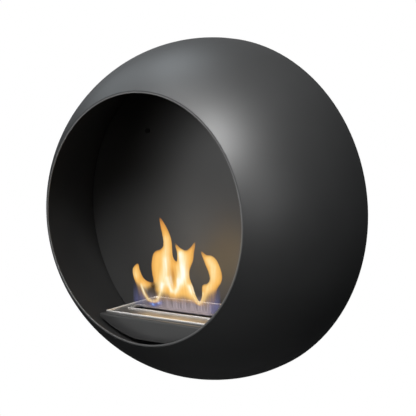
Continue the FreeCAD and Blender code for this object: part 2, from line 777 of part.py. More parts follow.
os.makedirs("parts", exist_ok=True)
for node in nodes:
    node.Shape.exportStep(f"parts/{node.Label}.step")
    print(node.Label, len(node.Shape.Solids), "solids", round(node.Shape.Volume), "mm3")
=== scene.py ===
import math

import bmesh
import bpy
import numpy as np
from mathutils import Matrix, Vector
from mathutils.geometry import delaunay_2d_cdt


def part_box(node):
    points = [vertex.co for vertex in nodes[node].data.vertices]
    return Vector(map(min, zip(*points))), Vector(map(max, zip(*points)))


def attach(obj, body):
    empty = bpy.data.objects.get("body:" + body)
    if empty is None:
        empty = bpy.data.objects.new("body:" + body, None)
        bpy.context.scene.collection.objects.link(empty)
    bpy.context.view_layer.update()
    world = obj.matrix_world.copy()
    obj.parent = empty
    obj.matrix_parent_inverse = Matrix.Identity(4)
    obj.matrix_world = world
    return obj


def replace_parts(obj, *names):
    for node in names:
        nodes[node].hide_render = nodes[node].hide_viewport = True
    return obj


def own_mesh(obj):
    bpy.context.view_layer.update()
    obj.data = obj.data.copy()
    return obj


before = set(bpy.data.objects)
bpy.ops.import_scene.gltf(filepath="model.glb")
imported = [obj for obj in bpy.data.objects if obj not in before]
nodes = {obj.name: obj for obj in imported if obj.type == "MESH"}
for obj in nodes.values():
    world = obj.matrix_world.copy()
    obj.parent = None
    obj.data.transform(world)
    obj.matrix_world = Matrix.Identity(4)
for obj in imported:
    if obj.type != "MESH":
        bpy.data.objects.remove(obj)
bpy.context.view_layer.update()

scene = bpy.context.scene

# Wall plate, hanger rail, screws and spacers: sheet steel, cut and bent, and turned steel, all zinc plated.
# The plate is screwed to the wall, and the rail on the dome's back drops over its lip.
BENT_EDGE = 0.0008
ZINC_TONES = (0.62, 0.63, 0.64), (0.74, 0.74, 0.73)
ZINC_ROUGHNESS = 0.28, 0.46
ZINC_CLOUDS = 14.0
PLATING_GRAIN = 600.0
PLATING_BUMP = 0.06, 0.0004


def new_material(name):
    """A node material with its tree, its shader and its object coordinates."""
    material = bpy.data.materials.new(name)
    material.use_nodes = True
    tree = material.node_tree
    shader = tree.nodes["Principled BSDF"]
    coordinates = tree.nodes.new("ShaderNodeTexCoord")
    return material, tree, shader, coordinates.outputs["Object"]


def add_bump(tree, shader, height, strength, distance):
    """Roughens a surface in relief."""
    bump = tree.nodes.new("ShaderNodeBump")
    bump.inputs["Strength"].default_value = strength
    bump.inputs["Distance"].default_value = distance
    tree.links.new(height, bump.inputs["Height"])
    tree.links.new(bump.outputs["Normal"], shader.inputs["Normal"])


def ramp(tree, factor, stops):
    """A colour ramp; each stop is (place, colour)."""
    node = tree.nodes.new("ShaderNodeValToRGB")
    elements = node.color_ramp.elements
    while len(elements) < len(stops):
        elements.new(0.5)
    for element, (place, colour) in zip(elements, stops):
        element.position = place
        element.color = (*colour, 1.0)
    tree.links.new(factor, node.inputs["Fac"])
    return node.outputs["Color"]


def two_tone(tree, factor, dark, pale):
    """A soft change between two tones over the middle part of a noise."""
    return ramp(tree, factor, [(0.3, dark), (0.7, pale)])


def span(tree, factor, low, high):
    """Maps 0 to 1 onto a range."""
    node = tree.nodes.new("ShaderNodeMapRange")
    node.inputs["To Min"].default_value = low
    node.inputs["To Max"].default_value = high
    tree.links.new(factor, node.inputs["Value"])
    return node.outputs["Result"]


def noise(tree, coordinates, scale, detail=2.0, stretch=(1.0, 1.0, 1.0)):
    """Cloudy noise; stretch packs it closer along an axis."""
    mapping = tree.nodes.new("ShaderNodeMapping")
    mapping.inputs["Scale"].default_value = stretch
    texture = tree.nodes.new("ShaderNodeTexNoise")
    texture.inputs["Scale"].default_value = scale
    texture.inputs["Detail"].default_value = detail
    tree.links.new(coordinates, mapping.inputs["Vector"])
    tree.links.new(mapping.outputs["Vector"], texture.inputs["Vector"])
    return texture.outputs["Fac"]


def finish(node, material):
    """Gives a CAD node its finish."""
    nodes[node].data.materials.clear()
    nodes[node].data.materials.append(material)


def softened(node, name, edge, material, segments=2):
    """A copy of a CAD node whose sharp edges are broken, as sheet metal's are; it stands for the node."""
    flat, sharp = math.radians(0.2), math.radians(35.0)
    mesh = bmesh.new()
    mesh.from_mesh(nodes[node].data)
    bmesh.ops.remove_doubles(mesh, verts=mesh.verts, dist=1e-6)
    bmesh.ops.dissolve_limit(mesh, angle_limit=flat, verts=mesh.verts, edges=mesh.edges)
    corners = [e for e in mesh.edges if len(e.link_faces) == 2 and e.calc_face_angle(0.0) > sharp]
    bmesh.ops.bevel(mesh, geom=corners, offset=edge, segments=segments, profile=0.5, affect="EDGES",
                    clamp_overlap=True)
    for face in mesh.faces:
        face.smooth = True
    data = bpy.data.meshes.new(name)
    mesh.to_mesh(data)
    mesh.free()
    piece = bpy.data.objects.new(name, data)
    scene.collection.objects.link(piece)
    weighted = piece.modifiers.new("weighted", "WEIGHTED_NORMAL")
    weighted.weight = 80
    data.materials.append(material)
    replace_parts(piece, node)
    return piece


zinc, tree, shader, place = new_material("zinc_plating")
shader.inputs["Metallic"].default_value = 1.0
cloud = noise(tree, place, ZINC_CLOUDS, detail=5.0)
tree.links.new(two_tone(tree, cloud, *ZINC_TONES), shader.inputs["Base Color"])
tree.links.new(span(tree, cloud, *ZINC_ROUGHNESS), shader.inputs["Roughness"])
add_bump(tree, shader, noise(tree, place, PLATING_GRAIN), *PLATING_BUMP)
for node in ("wall_plate", "hanger_rail"):
    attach(softened(node, node + "_bent", BENT_EDGE, zinc), "hearth")
for node in ("hanger_screws", "shell_screws", "panel_spacers"):
    finish(node, zinc)

# Rear plate: a disc cut from galvanised sheet steel, with the zinc's crystals showing.
# It closes the back of the dome and is screwed to the dome's inner flange.
SPANGLE_SCALE = 105.0
SPANGLE_TONES = (0.27, 0.28, 0.29), (0.38, 0.39, 0.40)
SPANGLE_ROUGHNESS = 0.36, 0.55
DULL_PATCHES = 18.0

galvanised, tree, shader, place = new_material("galvanised_sheet")
shader.inputs["Metallic"].default_value = 1.0
spangle = tree.nodes.new("ShaderNodeTexVoronoi")
spangle.inputs["Scale"].default_value = SPANGLE_SCALE
tree.links.new(place, spangle.inputs["Vector"])
crystals = ramp(tree, spangle.outputs["Color"], [(0.0, SPANGLE_TONES[0]), (1.0, SPANGLE_TONES[1])])
tree.links.new(crystals, shader.inputs["Base Color"])
dull = noise(tree, place, DULL_PATCHES, detail=4.0)
tree.links.new(span(tree, dull, *SPANGLE_ROUGHNESS), shader.inputs["Roughness"])
add_bump(tree, shader, noise(tree, place, PLATING_GRAIN), *PLATING_BUMP)
finish("rear_plate", galvanised)

# Rubber bumpers: two black moulded pads, glued low on the rear plate.
# They keep the dome off the wall and parallel to it.
BUMPER_EDGE = 0.0015
RUBBER_TONES = (0.018, 0.018, 0.018), (0.03, 0.03, 0.03)
RUBBER_ROUGHNESS = 0.7, 0.92
RUBBER_GRAIN, RUBBER_PATCHES = 700.0, 60.0
RUBBER_BUMP = 0.2, 0.0004

rubber, tree, shader, place = new_material("bumper_rubber")
grain = noise(tree, place, RUBBER_GRAIN, detail=3.0)
patches = noise(tree, place, RUBBER_PATCHES)
tree.links.new(two_tone(tree, patches, *RUBBER_TONES), shader.inputs["Base Color"])
tree.links.new(span(tree, grain, *RUBBER_ROUGHNESS), shader.inputs["Roughness"])
add_bump(tree, shader, grain, *RUBBER_BUMP)
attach(softened("wall_bumpers", "bumper_pads", BUMPER_EDGE, rubber), "hearth")

# Insulation board: pale fibre pressed into a flat board, which keeps the heat off the wall.
# It stands between the back panel and the rear plate, with the panel's screws through it.
BOARD_TONES = (0.62, 0.58, 0.50), (0.76, 0.73, 0.67)
BOARD_FIBRES = 260.0
FIBRE_STRETCH = 1.0, 1.0, 3.0
FIBRE_ROUGHNESS = 0.95
BOARD_BUMP = 0.5, 0.001

board, tree, shader, place = new_material("fibre_board")
fibres = noise(tree, place, BOARD_FIBRES, detail=5.0, stretch=FIBRE_STRETCH)
tree.links.new(two_tone(tree, fibres, *BOARD_TONES), shader.inputs["Base Color"])
shader.inputs["Roughness"].default_value = FIBRE_ROUGHNESS
add_bump(tree, shader, fibres, *BOARD_BUMP)
finish("insulation_board", board)

# Outer shell: a spun steel dome, turned in at the opening to a thin rim and powder coated satin black.
# The coat has a very fine orange peel and slightly uneven gloss, and it is glossier round the rim.
DOME_EDGE = 0.0009
DOME_TONES = (0.0120, 0.0123, 0.0124), (0.0155, 0.0158, 0.0160)
DOME_ROUGHNESS = 0.44, 0.52
DOME_PEEL = {"grain": 1100.0, "bump": 0.10}
DOME_GLOSS, RIM_GLOSS = 0.16, 0.75
RIM_OUTSIDE, RIM_INSIDE = 0.2004, 0.1980
COAT_PATCH = 9.0
COAT_IOR = 3.0
COAT_DEPTH = 0.0003
UNDERCOAT_GLOSS = 0.05

peel = bpy.data.node_groups.new("powder_coat", "ShaderNodeTree")
peel.interface.new_socket("Place", in_out="INPUT", socket_type="NodeSocketVector")
for name in ("Grain", "Patch"):
    peel.interface.new_socket(name, in_out="INPUT", socket_type="NodeSocketFloat")
for name in ("Peel", "Mottle"):
    peel.interface.new_socket(name, in_out="OUTPUT", socket_type="NodeSocketFloat")
given = peel.nodes.new("NodeGroupInput")
put_out = peel.nodes.new("NodeGroupOutput")
for size, detail, outlet in (("Grain", 3.0, "Peel"), ("Patch", 4.0, "Mottle")):
    texture = peel.nodes.new("ShaderNodeTexNoise")
    texture.inputs["Detail"].default_value = detail
    peel.links.new(given.outputs["Place"], texture.inputs["Vector"])
    peel.links.new(given.outputs[size], texture.inputs["Scale"])
    peel.links.new(texture.outputs["Fac"], put_out.inputs[outlet])


def powder_coat(name, dark, pale, rough, gloss, grain, bump):
    """Black powder coat: two close greys, a roughness range, a clear top layer and an orange-peel bump."""
    material, tree, shader, place = new_material(name)
    coat = tree.nodes.new("ShaderNodeGroup")
    coat.node_tree = peel
    coat.inputs["Grain"].default_value = grain
    coat.inputs["Patch"].default_value = COAT_PATCH
    tree.links.new(place, coat.inputs["Place"])
    mottle = coat.outputs["Mottle"]
    tree.links.new(two_tone(tree, mottle, dark, pale), shader.inputs["Base Color"])
    tree.links.new(span(tree, mottle, *rough), shader.inputs["Roughness"])
    shader.inputs["Specular IOR Level"].default_value = UNDERCOAT_GLOSS
    shader.inputs["Coat Weight"].default_value = gloss
    shader.inputs["Coat IOR"].default_value = COAT_IOR
    shader.inputs["Coat Roughness"].default_value = sum(rough) / 2
    add_bump(tree, shader, coat.outputs["Peel"], bump, COAT_DEPTH)
    return material


def reach_from_axis(tree, place, across):
    """Distance from one axis of the frame: across is 1 on the two axes that count."""
    flat = tree.nodes.new("ShaderNodeVectorMath")
    flat.operation = "MULTIPLY"
    flat.inputs[1].default_value = across
    tree.links.new(place, flat.inputs[0])
    reach = tree.nodes.new("ShaderNodeVectorMath")
    reach.operation = "LENGTH"
    tree.links.new(flat.outputs["Vector"], reach.inputs[0])
    return reach.outputs["Value"]


def graded(tree, value, start, stop, low, high, smooth=False):
    """Runs from low to high while a value runs from start to stop."""
    node = tree.nodes.new("ShaderNodeMapRange")
    if smooth:
        node.interpolation_type = "SMOOTHSTEP"
    for socket, number in (("From Min", start), ("From Max", stop), ("To Min", low), ("To Max", high)):
        node.inputs[socket].default_value = number
    tree.links.new(value, node.inputs["Value"])
    return node.outputs["Result"]


satin_black = powder_coat("satin_black_coat", *DOME_TONES, DOME_ROUGHNESS, DOME_GLOSS, **DOME_PEEL)
tree = satin_black.node_tree
place = tree.nodes["Texture Coordinate"].outputs["Object"]
radius = reach_from_axis(tree, place, (1.0, 0.0, 1.0))
tree.links.new(graded(tree, radius, RIM_OUTSIDE, RIM_INSIDE, DOME_GLOSS, RIM_GLOSS),
               tree.nodes["Principled BSDF"].inputs["Coat Weight"])
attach(softened("outer_shell", "dome", DOME_EDGE, satin_black, 3), "hearth")

# Firebox: conical liner, flat back panel, tray with its apron and two brackets, bent from thin sheet.
# All of it has a heat-resistant matt black coat; the screws that hold it are blackened.
THIN_EDGE = 0.0004
HEATPROOF_PEEL = {"grain": 800.0, "bump": 0.12}
SCREW_PEEL = {"grain": 2000.0, "bump": 0.1}


def grey(level):
    """A neutral tone."""
    return (level, level, level)


matt_black = powder_coat("heatproof_black_coat", grey(0.015), grey(0.020), rough=(0.46, 0.56), gloss=0.10,
                         **HEATPROOF_PEEL)
panel_black = powder_coat("panel_black_coat", grey(0.026), grey(0.032), rough=(0.38, 0.46), gloss=0.26,
                          **HEATPROOF_PEEL)
tray_black = powder_coat("tray_black_coat", grey(0.024), grey(0.030), rough=(0.30, 0.38), gloss=0.25,
                         **HEATPROOF_PEEL)
black_screw = powder_coat("blackened_steel", grey(0.015), grey(0.025), rough=(0.3, 0.4), gloss=0.08,
                          **SCREW_PEEL)
finish("inner_liner", matt_black)
finish("back_panel", panel_black)
for node, name, coat in (("burner_tray", "tray_sheet", tray_black),
                         ("tray_bracket_left", "bracket_left", matt_black),
                         ("tray_bracket_right", "bracket_right", matt_black)):
    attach(softened(node, name, THIN_EDGE, coat), "hearth")
for node in ("panel_screws", "tray_screws"):
    finish(node, black_screw)

# Burner: a stainless plate with a raised edge and a slot, a strip frame round the slot in a lighter tone,
# which is a painted highlight, the fuel tank welded under it and a perforated sheet over the wool. All of it
# is brushed lengthwise, and the top of the plate's raised edge is painted pale and matt, a painted highlight
# line.
PLATE_EDGE = 0.0005
STEEL_TONES = Vector((0.56, 0.55, 0.54)), Vector((0.64, 0.63, 0.61))
STEEL_ROUGHNESS = 0.24, 0.36
STRIP_ROUGHNESS = 0.36, 0.46
PLATE_ROUGHNESS = 0.34, 0.44
# The slot strip's stainless is painted lighter by this factor, a painted highlight.
STRIP_PAINTED_LIGHTNESS = 1.35
BRUSH_STRETCH = 12.0, 700.0, 700.0
BRUSH_BUMP = 0.015, 0.0002
SMEARS = 25.0
# Above this height the plate's raised edge is painted pale and matt, a painted highlight line.
EDGE_HIGHLIGHT_FOOT, EDGE_HIGHLIGHT_TOP = -0.1632, -0.1626
EDGE_HIGHLIGHT_TONE = 0.93, 0.92, 0.90, 1.0
EDGE_HIGHLIGHT_ROUGHNESS = (*grey(0.55), 1.0)


def brushed(name, rough, tone=1.0):
    """Stainless brushed along the burner, faint smears in its gloss; a tone above 1 is a painted highlight.
    """
    material, tree, shader, place = new_material(name)
    shader.inputs["Metallic"].default_value = 1.0
    lines = noise(tree, place, 1.0, detail=3.0, stretch=BRUSH_STRETCH)
    colour = two_tone(tree, lines, *(tone * steel_tone for steel_tone in STEEL_TONES))
    gloss = span(tree, noise(tree, place, SMEARS, detail=3.0), *rough)
    tree.links.new(colour, shader.inputs["Base Color"])
    tree.links.new(gloss, shader.inputs["Roughness"])
    add_bump(tree, shader, lines, *BRUSH_BUMP)
    return material, tree, shader, place, colour, gloss


def mixed(tree, factor, first, second):
    """Goes from what an outlet gives to one plain colour as the factor rises."""
    mix = tree.nodes.new("ShaderNodeMix")
    mix.data_type = "RGBA"
    mix.inputs["B"].default_value = second
    tree.links.new(factor, mix.inputs["Factor"])
    tree.links.new(first, mix.inputs["A"])
    return mix.outputs["Result"]


steel = brushed("brushed_stainless", STEEL_ROUGHNESS)[0]
# The slot strip gets the lighter stainless, a painted highlight.
strip_highlight_steel = brushed("stainless_with_painted_highlight", STRIP_ROUGHNESS, STRIP_PAINTED_LIGHTNESS)[0]
for node, name, metal in (("slot_frame", "slot_strip", strip_highlight_steel), ("burner_tank", "fuel_tank", steel)):
    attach(softened(node, name, THIN_EDGE, metal), "burner")
finish("wool_grid", steel)

# The burner plate: the top of its raised edge is painted pale, a painted highlight line.
edge_highlight_steel, tree, shader, place, colour, gloss = brushed("stainless_with_painted_edge_line", PLATE_ROUGHNESS)
height = tree.nodes.new("ShaderNodeSeparateXYZ")
tree.links.new(place, height.inputs["Vector"])
edge_highlight = graded(tree, height.outputs["Z"], EDGE_HIGHLIGHT_FOOT, EDGE_HIGHLIGHT_TOP, 0.0, 1.0)
tree.links.new(mixed(tree, edge_highlight, colour, EDGE_HIGHLIGHT_TONE), shader.inputs["Base Color"])
tree.links.new(mixed(tree, edge_highlight, gloss, EDGE_HIGHLIGHT_ROUGHNESS), shader.inputs["Roughness"])
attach(softened("burner_top", "burner_plate", PLATE_EDGE, edge_highlight_steel), "burner")

# Ceramic wool: a pad of loose white fibre that lies in the tank under the perforated sheet.
# Its edges are round and its top is lumpy, with stray threads lying on it.
WOOL_SHADOW, WOOL_WHITE = (0.60, 0.57, 0.52), (0.86, 0.84, 0.80)
WOOL_TANGLE = 420.0
WOOL_STRETCH = 1.0, 2.0, 1.0
WOOL_BUMP = 0.8, 0.002
THREAD_ROOM = 0.0022
THREAD_LENGTH = 0.007
THREAD_THICKNESS = 0.00014
THREADS_PER_AREA = 3.0e5
THREAD_SEED = 7
THREAD_TILT = 0.08
WOOL_ROUND = 0.006
WOOL_LUMP = 0.0005
WOOL_WAVES = (9.0, 1.0, 7.0), (31.0, 4.0, 23.0)
WOOL_CUTS = 27
PAD_SHARE = 0.996
TUFT_X, TUFT_Y = 0.87, 0.80

wool_white, tree, shader, place = new_material("ceramic_wool")
tangle = noise(tree, place, WOOL_TANGLE, detail=6.0, stretch=WOOL_STRETCH)
tree.links.new(ramp(tree, tangle, [(0.25, WOOL_SHADOW), (0.7, WOOL_WHITE)]), shader.inputs["Base Color"])
shader.inputs["Roughness"].default_value = FIBRE_ROUGHNESS
add_bump(tree, shader, tangle, *WOOL_BUMP)

low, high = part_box("wool_pad")
middle, half = (low + high) / 2, PAD_SHARE / 2 * (high - low)
body = bmesh.new()
bmesh.ops.create_cube(body, size=2.0)
bmesh.ops.subdivide_edges(body, edges=body.edges, cuts=WOOL_CUTS, use_grid_fill=True)
tuft = body.verts.layers.float.new("tuft")
for vertex in body.verts:
    share = vertex.co.copy()
    spot = share * half
    core = Vector([max(WOOL_ROUND - reach, min(reach - WOOL_ROUND, run)) for run, reach in zip(spot, half)])
    spot = core + WOOL_ROUND * (spot - core).normalized()
    lumps = sum(math.sin(a * share.x + b) * math.cos(c * share.y) for a, b, c in WOOL_WAVES)
    spot.z -= max(0.0, share.z) ** 4 * (THREAD_ROOM + WOOL_LUMP * lumps)
    vertex[tuft] = float(share.z > 0.99 and abs(share.x) < TUFT_X and abs(share.y) < TUFT_Y)
    vertex.co = middle + spot
for face in body.faces:
    face.smooth = True
wool_mesh = bpy.data.meshes.new("wool_pad_body")
body.to_mesh(wool_mesh)
body.free()
wool = bpy.data.objects.new("wool_body", wool_mesh)
scene.collection.objects.link(wool)

threads = bpy.data.node_groups.new("loose_threads", "GeometryNodeTree")
threads.interface.new_socket("Pad", in_out="INPUT", socket_type="NodeSocketGeometry")
for name in ("Density", "Length", "Thickness"):
    threads.interface.new_socket(name, in_out="INPUT", socket_type="NodeSocketFloat")
threads.interface.new_socket("Wool", in_out="INPUT", socket_type="NodeSocketMaterial")
threads.interface.new_socket("Pad", in_out="OUTPUT", socket_type="NodeSocketGeometry")
add, link = threads.nodes.new, threads.links.new
given, put_out = add("NodeGroupInput"), add("NodeGroupOutput")
tufted = add("GeometryNodeInputNamedAttribute")
tufted.data_type = "FLOAT"
tufted.inputs["Name"].default_value = "tuft"
count = add("ShaderNodeMath")
count.operation = "MULTIPLY"
link(tufted.outputs["Attribute"], count.inputs[0])
link(given.outputs["Density"], count.inputs[1])
scatter = add("GeometryNodeDistributePointsOnFaces")
scatter.inputs["Seed"].default_value = THREAD_SEED
link(given.outputs["Pad"], scatter.inputs["Mesh"])
link(count.outputs["Value"], scatter.inputs["Density"])
bend = add("GeometryNodeCurveQuadraticBezier")
bend.inputs["Resolution"].default_value = 4
for end, unit in (("Start", (-0.5, 0.0, 0.0)), ("Middle", (0.0, 0.5, 0.1)), ("End", (0.5, -0.1, 0.0))):
    sized = add("ShaderNodeVectorMath")
    sized.operation = "SCALE"
    sized.inputs[0].default_value = unit
    link(given.outputs["Length"], sized.inputs["Scale"])
    link(sized.outputs["Vector"], bend.inputs[end])
ring = add("GeometryNodeCurvePrimitiveCircle")
ring.inputs["Resolution"].default_value = 3
link(given.outputs["Thickness"], ring.inputs["Radius"])
thread = add("GeometryNodeCurveToMesh")
thread.inputs["Fill Caps"].default_value = True
link(bend.outputs["Curve"], thread.inputs["Curve"])
link(ring.outputs["Curve"], thread.inputs["Profile Curve"])
turn = add("FunctionNodeRandomValue")
turn.data_type = "FLOAT_VECTOR"
turn.inputs["Min"].default_value = (-THREAD_TILT, -THREAD_TILT, 0.0)
turn.inputs["Max"].default_value = (THREAD_TILT, THREAD_TILT, 2.0 * math.pi)
angle = add("FunctionNodeEulerToRotation")
link(turn.outputs["Value"], angle.inputs["Euler"])
laid = add("GeometryNodeInstanceOnPoints")
link(scatter.outputs["Points"], laid.inputs["Points"])
link(thread.outputs["Mesh"], laid.inputs["Instance"])
link(angle.outputs["Rotation"], laid.inputs["Rotation"])
both = add("GeometryNodeJoinGeometry")
link(given.outputs["Pad"], both.inputs["Geometry"])
link(laid.outputs["Instances"], both.inputs["Geometry"])
real = add("GeometryNodeRealizeInstances")
link(both.outputs["Geometry"], real.inputs["Geometry"])
dyed = add("GeometryNodeSetMaterial")
link(real.outputs["Geometry"], dyed.inputs["Geometry"])
link(given.outputs["Wool"], dyed.inputs["Material"])
link(dyed.outputs["Geometry"], put_out.inputs["Pad"])

lay = wool.modifiers.new("loose_threads", "NODES")
lay.node_group = threads
keys = {item.name: item.identifier for item in threads.interface.items_tree if item.in_out == "INPUT"}
for name, value in (("Density", THREADS_PER_AREA), ("Length", THREAD_LENGTH),
                    ("Thickness", THREAD_THICKNESS), ("Wool", wool_white)):
    lay[keys[name]] = value
settled = wool.evaluated_get(bpy.context.evaluated_depsgraph_get())
wool_mesh = bpy.data.meshes.new_from_object(settled)
wool.modifiers.clear()
wool.data = wool_mesh
wool_mesh.attributes.remove(wool_mesh.attributes["tuft"])
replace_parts(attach(wool, "burner"), "wool_pad")

# Damper: a plain brushed stainless plate that lies behind the slot, between the strips that guide it.
# A hook in its hole pulls it forward over the slot, which puts the flames out.
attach(softened("damper_plate", "damper", PLATE_EDGE, steel), "damper")

# Flames: one luminous curtain over the slot, orange at its edges and nearly white along its folds, and a
# thin glowing lilac haze over the slot, partly the flames' blue foot and partly a painted reflection of them
# on the plate.
# Outlines, widths and heights are in millimetres; depths and single places are in metres.
SLOT_Y = -0.119
STREAK_STRETCH = 170.0, 90.0, 22.0
GLOW_SWING, VEIL_SWING = 0.40, 0.22


def smooth_loop(points, steps=6):
    """A closed smooth curve through points in millimetres, itself in metres."""
    points = np.array(points, float) / 1000.0
    loop = []
    for index in range(len(points)):
        a, b, c, d = (points[(index + shift) % len(points)] for shift in (-1, 0, 1, 2))
        for step in range(steps):
            t = step / steps
            loop.append(0.5 * (2 * b + (c - a) * t + (2 * a - 5 * b + 4 * c - d) * t ** 2
                               + (3 * b - a - 3 * c + d) * t ** 3))
    return np.array(loop)


def distance_to_lines(spots, line):
    """Each spot's distance to a run of straight pieces."""
    start, stop = line[:-1], line[1:]
    along = stop - start
    squares = np.maximum((along ** 2).sum(1), 1e-12)
    best = np.full(len(spots), 1.0)
    for corner, run, square in zip(start, along, squares):
        t = np.clip(((spots - corner) @ run) / square, 0.0, 1.0)
        best = np.minimum(best, np.linalg.norm(spots - (corner + t[:, None] * run), axis=1))
    return best


def bell(distance, width):
    """A soft bump; the distance is in metres, the width in millimetres."""
    return np.exp(-(distance / (width / 1000.0)) ** 2)


def rise(value, run):
    """Climbs from 0 to 1 over a run."""
    return np.clip(value / run, 0, 1)


def flame_body(name, loop, half_thickness, rounding, spacing, sway, shades, material):
    """A thin lens with a flat outline loop.

    shades gives named values for each spot from its place, its depth inside the outline and whether it
    lies on the front.
    """
    low, high = loop.min(0), loop.max(0)
    xs = np.arange(low[0] + spacing / 2, high[0], spacing)
    zs = np.arange(low[1] + spacing / 2, high[1], spacing)
    grid = np.array([(x, z) for x in xs for z in zs])
    closed = np.vstack([loop, loop[:1]])
    grid = grid[distance_to_lines(grid, closed) > 0.6 * spacing]
    corners = [Vector(spot) for spot in np.vstack([loop, grid])]
    flat, _, faces, *_ = delaunay_2d_cdt(corners, [], [list(range(len(loop)))], 1, 1e-7)
    flat = np.array([(v.x, v.y) for v in flat])
    depth = distance_to_lines(flat, closed)
    edge = depth < 1e-6
    bulge = half_thickness * np.sqrt(1.0 - (1.0 - rise(depth, rounding)) ** 2)
    middle = SLOT_Y + sway(flat)
    mesh = bmesh.new()
    front = [mesh.verts.new((x, y - b, z)) for (x, z), y, b in zip(flat, middle, bulge)]
    back = [v if e else mesh.verts.new((x, y + b, z))
            for v, e, (x, z), y, b in zip(front, edge, flat, middle, bulge)]
    for face in faces:
        mesh.faces.new([front[i] for i in face])
        if not all(edge[i] for i in face):
            mesh.faces.new([back[i] for i in reversed(face)])
    for face in mesh.faces:
        face.smooth = True
    bmesh.ops.recalc_face_normals(mesh, faces=mesh.faces)
    mesh.verts.index_update()
    data = bpy.data.meshes.new(name)
    mesh.to_mesh(data)
    mesh.free()
    spots = np.array([v.co for v in data.vertices])[:, [0, 2]]
    ahead = np.arange(len(spots)) < len(flat)
    for label, values in shades(spots, distance_to_lines(spots, closed), ahead).items():
        layer = data.attributes.new(label, "FLOAT", "POINT")
        layer.data.foreach_set("value", np.clip(values, 0.0, 1.0).astype(np.float32))
    piece = bpy.data.objects.new(name, data)
    scene.collection.objects.link(piece)
    data.materials.append(material)
    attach(piece, "burner")
    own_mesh(piece)
    return piece


def flame_material(name, stops, strength, cast):
    """Light by the surface's own glow, and see-through by its own veil, both broken by rising streaks.

    What it casts on other pieces is stronger or weaker than what is seen of it.
    """
    material, tree, shader, place = new_material(name)
    shader.inputs["Base Color"].default_value = (0.0, 0.0, 0.0, 1.0)
    shader.inputs["Specular IOR Level"].default_value = 0.0
    shader.inputs["Roughness"].default_value = 1.0
    streaks = noise(tree, place, 1.0, detail=4.0, stretch=STREAK_STRETCH)
    values = {}
    for label, swing in (("glow", GLOW_SWING), ("veil", VEIL_SWING)):
        read = tree.nodes.new("ShaderNodeAttribute")
        read.attribute_name = label
        blend = tree.nodes.new("ShaderNodeMath")
        blend.operation = "MULTIPLY"
        blend.use_clamp = True
        tree.links.new(read.outputs["Fac"], blend.inputs[0])
        tree.links.new(span(tree, streaks, 1.0 - swing, 1.0 + swing), blend.inputs[1])
        values[label] = blend.outputs["Value"]
    tree.links.new(ramp(tree, values["glow"], stops), shader.inputs["Emission Color"])
    tree.links.new(values["veil"], shader.inputs["Alpha"])
    path = tree.nodes.new("ShaderNodeLightPath")
    shown = span(tree, path.outputs["Is Camera Ray"], cast, strength)
    tree.links.new(shown, shader.inputs["Emission Strength"])
    return material


CURTAIN = [  # from the left foot over the flames' tips and back along the slot
    (-78, -140), (-82, -122), (-86, -108), (-85, -97), (-80, -90), (-72, -86), (-68, -97), (-62, -109),
    (-52, -115), (-41, -115), (-44, -100), (-46, -85), (-44, -70), (-38, -63), (-26, -59), (-17, -51),
    (-16, -36), (-19, -20), (-21, -4), (-16, -8), (-8, -18), (0, -32), (4, -47), (4, -70), (12, -76),
    (14, -62), (10, -46), (20, -53), (31, -57), (39, -52), (47, -43), (46, -60), (45, -74), (39, -90),
    (39, -104), (44, -117), (48, -131), (55, -140), (61, -130), (63, -113), (72, -109), (76, -102),
    (73, -91), (66, -77), (58, -58), (68, -63), (79, -64), (88, -70), (95, -83), (98, -96), (96, -107),
    (90, -118), (88, -140), (76, -150), (58, -149), (40, -146), (20, -150), (0, -148), (-20, -150),
    (-45, -154), (-64, -150),
]
CURTAIN_HALF, CURTAIN_ROUND, CURTAIN_SPACING = 0.004, 0.012, 0.0022
FOLDS = [  # each: its run of points, its width, its heat and its share of the veil
    ([(-65, -122), (-59, -136), (-52, -146), (-42, -150), (-32, -147), (-25, -136), (-20, -118)],
     3.4, 0.34, 0.80),
    ([(-11, -108), (-8, -118), (-2, -127), (5, -130), (11, -122), (15, -110)], 4.0, 0.46, 0.80),
    ([(38, -116), (41, -124), (46, -134), (55, -143), (62, -136), (65, -125)], 3.6, 0.42, 0.84),
    ([(-9, -40), (-10, -60), (-15, -80), (-20, -100), (-25, -118)], 8.5, 0.30, 0.0),
    ([(-14, -76), (-13, -95), (-10, -116)], 6.0, 0.22, 0.0),
    ([(23, -64), (26, -78), (25, -94), (18, -108)], 9.0, 0.50, 0.0),
    ([(27, -90), (33, -108), (38, -124)], 8.0, 0.20, 0.0),
    ([(75, -69), (83, -82), (81, -98), (72, -114)], 9.0, 0.26, 0.0),
    ([(-80, -97), (-77, -106)], 6.0, 0.24, 0.0),
]
FOOT = [  # the orange fades out below this line
    (-88, -106), (-78, -112), (-70, -118), (-62, -122), (-54, -120), (-46, -119), (-38, -115), (-31, -126),
    (-24, -127), (-14, -126), (-6, -130), (2, -134), (10, -131), (18, -128), (28, -129), (36, -131),
    (44, -134), (53, -141), (62, -135), (70, -122), (82, -115), (98, -104),
]
GAPS = [  # each: its middle, its reach to the side and up, and how much of the veil it takes
    ((-47, -137), (14, 12), 0.9),
    ((-1, -104), (6, 15), 0.5),
    ((-41, -123), (9, 9), 0.92),
]
EDGE_HEAT, CORE_HEAT, CORE_DEPTH = 0.17, 0.22, 0.009
TIP_COOLING, TIP_START, TIP_RUN = 0.12, -40.0, 36.0
HEART_X, HEART_Z, HEART_WIDTH = -0.001, -0.100, 7.0
HEART_COOLING, HEART_SQUEEZE = 0.30, 0.45
EDGE_VEIL, BODY_VEIL, BODY_DEPTH, FOOT_FADE = 0.16, 0.56, 0.0035, 8.0
STREAK_VEIL, STREAK_DEPTH, STREAK_FADE = 0.56, 0.006, 15.0
WIDE_STREAKS, FINE_STREAKS = (0.62, 1.3), (1.27, 0.4)
LINE_DEPTH = 0.003
SWAY, SWAY_FOOT, SWAY_RUN = 0.004, -0.16, 0.06


def wave(values, pace, start):
    """A wave along values."""
    return np.sin(pace * values + start)


